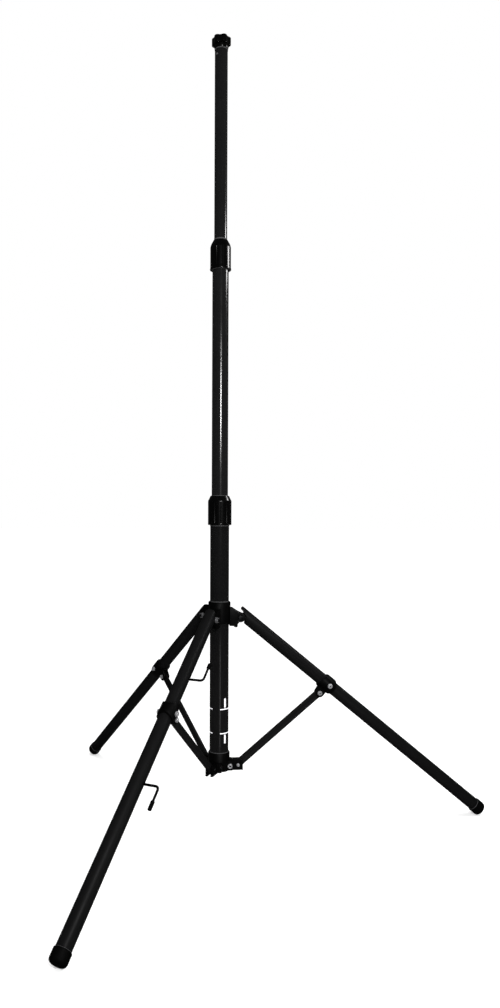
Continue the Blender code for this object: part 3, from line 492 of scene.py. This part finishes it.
low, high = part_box("middle_lock_collar")
outer = high.x
twist_collar("middle_lock_collar", [
    (22.8 * MM, high.z - 0.3 * MM),
    (23.2 * MM, high.z),
    (24.2 * MM, high.z),
    (25.2 * MM, high.z - 0.7 * MM),
    (outer - 1.2 * MM, high.z - 11.4 * MM),
    (outer - 0.3 * MM, high.z - 13.2 * MM),
    (outer, high.z - 15 * MM),
    (outer, high.z - 17 * MM),
    (outer, low.z + 6 * MM),
    (outer, low.z + 4 * MM),
    (outer, low.z + 0.8 * MM),
    (outer - 0.5 * MM, low.z),
    (29.1 * MM, low.z),
    (29.1 * MM, low.z + 46.5 * MM),
    (25.7 * MM, low.z + 48.5 * MM),
    (25.7 * MM, high.z - 10.5 * MM),
    (24.5 * MM, high.z - 6 * MM),
    (22.8 * MM, high.z - 4.5 * MM),
], outer, low.z + 5 * MM, high.z - 16 * MM, FRONT + 4.5)

low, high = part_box("top_lock_collar")
rim = high.x
outer = rim - 0.9 * MM
neck = 19.3 * MM
dome = []
for share, drop in ((0.0, 0.0), (0.1, 0.9), (0.22, 3.0), (0.36, 5.3), (0.5, 7.5), (0.63, 9.5),
                    (0.74, 11.5), (0.83, 13.5), (0.9, 15.5), (0.96, 17.7), (1.0, 20.0)):
    dome.append((neck + share * (outer - neck), high.z - drop * MM))
twist_collar("top_lock_collar", [(18.3 * MM, high.z - 0.3 * MM), (18.7 * MM, high.z)] + dome + [
    (outer, high.z - 22 * MM),
    (outer, low.z + 9 * MM),
    (outer, low.z + 7 * MM),
    (rim, low.z + 1.5 * MM),
    (rim - 0.2 * MM, low.z + 0.5 * MM),
    (rim - 0.9 * MM, low.z),
    (25.3 * MM, low.z),
    (25.3 * MM, high.z - 16 * MM),
    (22.2 * MM, high.z - 14 * MM),
    (22.2 * MM, high.z - 11.5 * MM),
    (21.0 * MM, high.z - 7 * MM),
    (18.3 * MM, high.z - 5.5 * MM),
], outer, low.z + 8 * MM, high.z - 21 * MM, FRONT + 8.0)


# Thin pale grey rings where a tube enters a hub or a collar


def pale_ring(name, body, radius, low, high, width=0.6 * MM):
    lip = ring_stack([
        (radius + 0.1 * MM, high),
        (radius + width - 0.25 * MM, high),
        (radius + width, high - 0.3 * MM),
        (radius + width, low + 0.3 * MM),
        (radius + width - 0.25 * MM, low),
        (radius + 0.1 * MM, low),
    ], 96)
    settle(lip, name, PALE_GREY, body)


low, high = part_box("top_lock_collar")
pale_ring("top_collar_upper_ring", "top_lock", TOP_RADIUS, high.z - 2 * MM, high.z + 4 * MM)
pale_ring("top_collar_lower_ring", "top_lock", MIDDLE_RADIUS, low.z - 0.4 * MM, low.z + 2 * MM,
          2.6 * MM)
low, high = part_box("top_tube")
pale_ring("top_tube_upper_ring", "top_section", TOP_RADIUS, high.z - 3 * MM,
          high.z - 0.2 * MM)
low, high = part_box("middle_lock_collar")
pale_ring("middle_collar_upper_ring", "middle_lock", MIDDLE_RADIUS, high.z - 2 * MM,
          high.z + 1.4 * MM)
pale_ring("middle_collar_lower_ring", "middle_lock", BOTTOM_RADIUS, low.z - 3 * MM,
          low.z + 2 * MM)
low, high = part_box("upper_hub")
pale_ring("upper_hub_ring", "spider", BOTTOM_RADIUS, high.z - 2 * MM, high.z + 2 * MM)
low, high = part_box("lower_hub")
pale_ring("lower_hub_ring", "mast_base", BOTTOM_RADIUS, high.z - 2 * MM, high.z + 2 * MM)


# Everything that keeps the shape of its solid, with its edges rounded off

MADE_ANEW = ("bottom_tube", "middle_tube", "top_tube", "middle_lock_collar", "top_lock_collar")


def finish_of(node):
    """The surface of a solid and the width of its rounded edges."""
    leg = node.split("_")[0]
    if node in ("middle_lock_bush", "top_lock_bush", "mast_end_plug"):
        return PLASTIC_BLACK, 0
    if node in ("middle_lock_collet", "top_lock_collet", "middle_tube_bush", "top_tube_bush",
                "hub_liner"):
        return PALE_GREY, 0
    if node in ("top_knob", "top_insert", "hub_lock_knob"):
        return PLASTIC_BLACK, 0.5 * MM
    if node in ("upper_hub", "lower_hub") or node.endswith(("leg_head", "leg_collar")):
        return BLACK_CASTING_AND_SHADE, 0.6 * MM
    if node.endswith("leg_tube"):
        return LEG_BLACK[leg], 0.3 * MM
    if node.endswith("_strut"):
        return STRUT_BLACK[leg], 0.4 * MM
    if node.endswith(("foot_cap", "hook_tip")):
        return RUBBER_BLACK, 0.4 * MM
    if node.endswith("cable_hook"):
        return DARK_STEEL_AND_SHADE, 0
    # Dark steel on the pivot bolts, the left lower rivets and the leg rivets is painted shade
    if node.endswith(("pivot_bolt", "lower_rivet_left", "leg_rivet")):
        return DARK_STEEL_AND_SHADE, 0.25 * MM
    # The pivot nuts' darker zinc is painted shade
    if node.endswith("pivot_nut") or node == "top_rivet":
        return DULL_AND_SHADED_ZINC, 0.25 * MM
    return ZINC_BRIGHT, 0.25 * MM


for node in sorted(NODES):
    if node in MADE_ANEW:
        continue
    look, width = finish_of(node)
    sharp = 40.0 if node.endswith("leg_tube") else 32.0
    smooth = 50.0 if node.endswith("cable_hook") else 35.0
    settle(cleaned(node, width, sharp), node + "_finished", look, BODY_OF[node], [node],
           smooth=smooth)


# Dark discs on the ends of the leg collars' and struts' bolts, painted as the shade inside their
# sockets


def bolt_socket(name, body, place):
    dark = ring_stack([(1.7 * MM, 0.06 * MM), (1.0 * MM, 0.05 * MM), (0.05 * MM, 0.05 * MM)], 18,
                      closed=False)
    settle(dark, name, BLACK_CASTING_AND_SHADE, body, place=place)


for node in sorted(NODES):
    if not node.endswith(("collar_bolt", "strut_bolt")):
        continue
    own = leg_frame(node.split("_")[0])
    points = points_in(own, node)
    middle_x = (min(point.x for point in points) + max(point.x for point in points)) / 2
    middle_z = (min(point.z for point in points) + max(point.z for point in points)) / 2
    for side, sign in (("left", 1), ("right", -1)):
        end = sign * max(sign * point.y for point in points)
        seat = Matrix.Translation((middle_x, end, middle_z))
        bolt_socket(node + "_socket_" + side, BODY_OF[node],
                    own @ seat @ Matrix.Rotation(-sign * math.pi / 2, 4, "X"))


# Thin pale lines where the legs enter their caps, a painted highlight on each cap's rim


def cap_line(leg):
    line = ring_stack([
        (LEG_RADIUS + 0.1 * MM, 0.4 * MM),
        (LEG_RADIUS + 0.5 * MM, 0.4 * MM),
        (LEG_RADIUS + 1.3 * MM, -0.6 * MM),
        (LEG_RADIUS + 1.3 * MM, -2.0 * MM),
        (LEG_RADIUS + 0.1 * MM, -2.0 * MM),
    ], 64)
    node = leg + "_foot_cap"
    own = leg_frame(leg)
    rim = max(point.z for point in points_in(own, node))
    settle(line, leg + "_cap_line", PALE_GREY, BODY_OF[node],
           place=own @ Matrix.Translation((LEG_AXIS, 0, rim + 0.3 * MM)))


for leg in LEGS:
    cap_line(leg)


# Hollow rivets at the roots of the lower hub's lugs, bright zinc on the right side of each; the
# left ones are dark steel as painted shade


def hollow_rivet(name, place, look):
    rivet = ring_stack([
        (2.5 * MM, 0.9 * MM),
        (3.1 * MM, 1.9 * MM),
        (4.2 * MM, 2.3 * MM),
        (5.6 * MM, 1.9 * MM),
        (6.6 * MM, 0.7 * MM),
        (6.75 * MM, -0.4 * MM),
        (2.5 * MM, -0.4 * MM),
    ], 40)
    settle(rivet, name, look, "mast_base", place=place, smooth=50.0)
    # A dark disc in the rivet's hole, painted as the shade inside it
    pit = ring_stack([(2.7 * MM, 0.1 * MM), (1.2 * MM, -0.1 * MM), (0.05 * MM, -0.15 * MM)], 24,
                     closed=False)
    settle(pit, name + "_pit", BLACK_CASTING_AND_SHADE, "mast_base", place=place)


for leg, azimuth in LEGS.items():
    lug = Matrix.Rotation(math.radians(azimuth), 4, "Z")
    # The left rivets take dark steel as painted shade, the right ones bright zinc
    for side, sign, look in (("left", 1, DARK_STEEL_AND_SHADE), ("right", -1, ZINC_BRIGHT)):
        seat = lug @ Matrix.Translation((28 * MM, sign * LUG_HALF_WIDTH, 14 * MM))
        hollow_rivet(leg + "_hub_rivet_" + side,
                     seat @ Matrix.Rotation(-sign * math.pi / 2, 4, "X"), look)


# Painted travel marks on the bottom tube: two lines, each with a bar


def painted_band(name, low, high, first, last):
    """A patch of paint on the bottom tube between two heights and two angles from the front."""
    bpy.ops.object.select_all(action="DESELECT")
    bpy.ops.mesh.primitive_cylinder_add(vertices=180, radius=BOTTOM_RADIUS + 0.02 * MM,
                                        depth=high - low, end_fill_type="NOTHING",
                                        location=(0, 0, (low + high) / 2))
    patch = bpy.context.object
    edit(patch)

    def outside(place):
        angle = math.degrees(math.atan2(place.x, -place.y)) % 360.0
        return not first <= angle <= last

    choose_points(patch, outside)
    bpy.ops.mesh.delete(type="VERT")
    leave_edit()
    coat = patch.modifiers.new("coat", "SOLIDIFY")
    coat.thickness = 0.1 * MM
    coat.offset = 1.0
    pick(patch)
    bpy.ops.object.modifier_apply(modifier=coat.name)
    settle(patch, name, PAINT_WHITE, "mast_base", smooth=25.0)


for name, low, high, first, last in (("upper_limit_line", 166.4, 169.2, 6.0, 317.0),
                                     ("upper_limit_neck", 169.0, 173.0, 34.5, 40.5),
                                     ("upper_limit_bar", 172.8, 196.5, 30.5, 44.5),
                                     ("lower_limit_line", 102.0, 104.8, 6.0, 317.0),
                                     ("lower_limit_neck", 98.5, 102.2, 34.5, 40.5),
                                     ("lower_limit_bar", 76.5, 98.7, 30.5, 44.5)):
    painted_band(name, low * MM, high * MM, first, last)


# Floor, light and camera

# How pale the floor is, and how pale it looks in reflections, so that it doesn't whiten the
# black tubes
FLOOR_SHADE = 0.72
FLOOR_IN_REFLECTIONS = 0.06

# A glow that only the camera sees fades the floor into the backdrop: its strength near the mast
# and far off, and the distances between which it grows
GLOW_NEAR, GLOW_FAR = 0.34, 0.72
GLOW_FROM, GLOW_TO = 0.4, 5.0

# The strength of the sky as a light, and in reflections
SKY = 0.55
SKY_IN_REFLECTIONS = 0.05


def lay_floor():
    bpy.ops.object.select_all(action="DESELECT")
    bpy.ops.mesh.primitive_plane_add(size=60.0, location=(0, 0, GROUND - 0.2 * MM))
    floor = bpy.context.object
    floor.name = "studio_floor"
    white = bpy.data.materials.new("studio_white")
    white.use_nodes = True
    tree = white.node_tree
    link = tree.links.new
    skin = tree.nodes["Principled BSDF"]
    skin.inputs["Roughness"].default_value = 0.9
    skin.inputs["Specular IOR Level"].default_value = 0.0
    rays = tree.nodes.new("ShaderNodeLightPath")
    pale = tree.nodes.new("ShaderNodeMix")
    pale.data_type = "RGBA"
    pale.inputs["A"].default_value = (FLOOR_SHADE,) * 3 + (1.0,)
    pale.inputs["B"].default_value = (FLOOR_IN_REFLECTIONS,) * 3 + (1.0,)
    link(rays.outputs["Is Glossy Ray"], pale.inputs["Factor"])
    link(pale.outputs["Result"], skin.inputs["Base Color"])
    place = tree.nodes.new("ShaderNodeTexCoord")
    away = tree.nodes.new("ShaderNodeVectorMath")
    away.operation = "LENGTH"
    link(place.outputs["Object"], away.inputs[0])
    lift = tree.nodes.new("ShaderNodeMapRange")
    lift.inputs["From Min"].default_value = GLOW_FROM
    lift.inputs["From Max"].default_value = GLOW_TO
    lift.inputs["To Min"].default_value = GLOW_NEAR
    lift.inputs["To Max"].default_value = GLOW_FAR
    link(away.outputs["Value"], lift.inputs["Value"])
    glow = tree.nodes.new("ShaderNodeMath")
    glow.operation = "MULTIPLY"
    link(rays.outputs["Is Camera Ray"], glow.inputs[0])
    link(lift.outputs["Result"], glow.inputs[1])
    skin.inputs["Emission Color"].default_value = (1.0, 1.0, 1.0, 1.0)
    link(glow.outputs["Value"], skin.inputs["Emission Strength"])
    floor.data.materials.append(white)


def light_world():
    world = bpy.data.worlds.new("studio")
    bpy.context.scene.world = world
    world.use_nodes = True
    tree = world.node_tree
    link = tree.links.new
    rays = tree.nodes.new("ShaderNodeLightPath")
    seen = tree.nodes.new("ShaderNodeMix")
    seen.data_type = "FLOAT"
    seen.inputs["A"].default_value = SKY
    seen.inputs["B"].default_value = SKY_IN_REFLECTIONS
    link(rays.outputs["Is Glossy Ray"], seen.inputs["Factor"])
    behind = tree.nodes.new("ShaderNodeMix")
    behind.data_type = "FLOAT"
    behind.inputs["B"].default_value = 1.0
    link(rays.outputs["Is Camera Ray"], behind.inputs["Factor"])
    link(seen.outputs["Result"], behind.inputs["A"])
    background = tree.nodes["Background"]
    background.inputs["Color"].default_value = (1.0, 1.0, 1.0, 1.0)
    link(behind.outputs["Result"], background.inputs["Strength"])


def softbox(name, place, aim, wide, tall, watts):
    """A flat lamp at a place, turned to face the aim."""
    lamp = bpy.data.lights.new(name, "AREA")
    lamp.shape = "RECTANGLE"
    lamp.size = wide
    lamp.size_y = tall
    lamp.energy = watts
    box = bpy.data.objects.new(name, lamp)
    bpy.context.scene.collection.objects.link(box)
    box.location = place
    box.rotation_euler = (Vector(aim) - Vector(place)).to_track_quat("-Z", "Y").to_euler()
    return box


def round_mast(azimuth, distance, height):
    """A place round the mast, with azimuth 0 towards the viewer and 90 to the right."""
    turn = math.radians(azimuth)
    return (distance * math.sin(turn), -distance * math.cos(turn), height)


def set_camera():
    """The camera that was fitted to the photograph: almost level, turned by only a trace."""
    view = bpy.data.cameras.new("studio_camera")
    view.sensor_fit = "AUTO"
    view.sensor_width = 36.0
    view.lens = 27.65
    view.shift_x = 0.0365
    view.shift_y = 0.00375
    view.clip_end = 200.0
    camera = bpy.data.objects.new("studio_camera", view)
    bpy.context.scene.collection.objects.link(camera)
    camera.location = (-0.0196, -2.093, 0.7028)
    swing, tilt, roll = math.radians(-0.052), math.radians(90.107), math.radians(0.2)
    camera.rotation_euler = (Matrix.Rotation(swing, 4, "Z")
                             @ Matrix.Rotation(tilt, 4, "X")
                             @ Matrix.Rotation(roll, 4, "Z")).to_euler()
    bpy.context.scene.camera = camera
    bpy.context.scene.view_settings.view_transform = "Standard"


lay_floor()
light_world()

# The streaks down the upper tubes and down the bottom tube, the edge of light on the top collar,
# and the soft light from above that gives the feet their shadows
softbox("front_softbox", round_mast(11, 2.2, 1.28), (0, 0, 1.0), 0.18, 0.36, 56.0)
softbox("foot_softbox", round_mast(11, 0.6, 0.06), (0, 0, 0.06), 0.03, 0.36, 0.28)
softbox("rim_softbox", round_mast(98, 2.2, 2.12), (0, 0, 1.4), 0.7, 0.3, 26.0)
overhead = softbox("overhead_softbox", (0.1, 0.2, 3.6), (0, 0, 0), 2.2, 2.2, 75.0)
overhead.visible_glossy = False

set_camera()

bpy.context.view_layer.update()
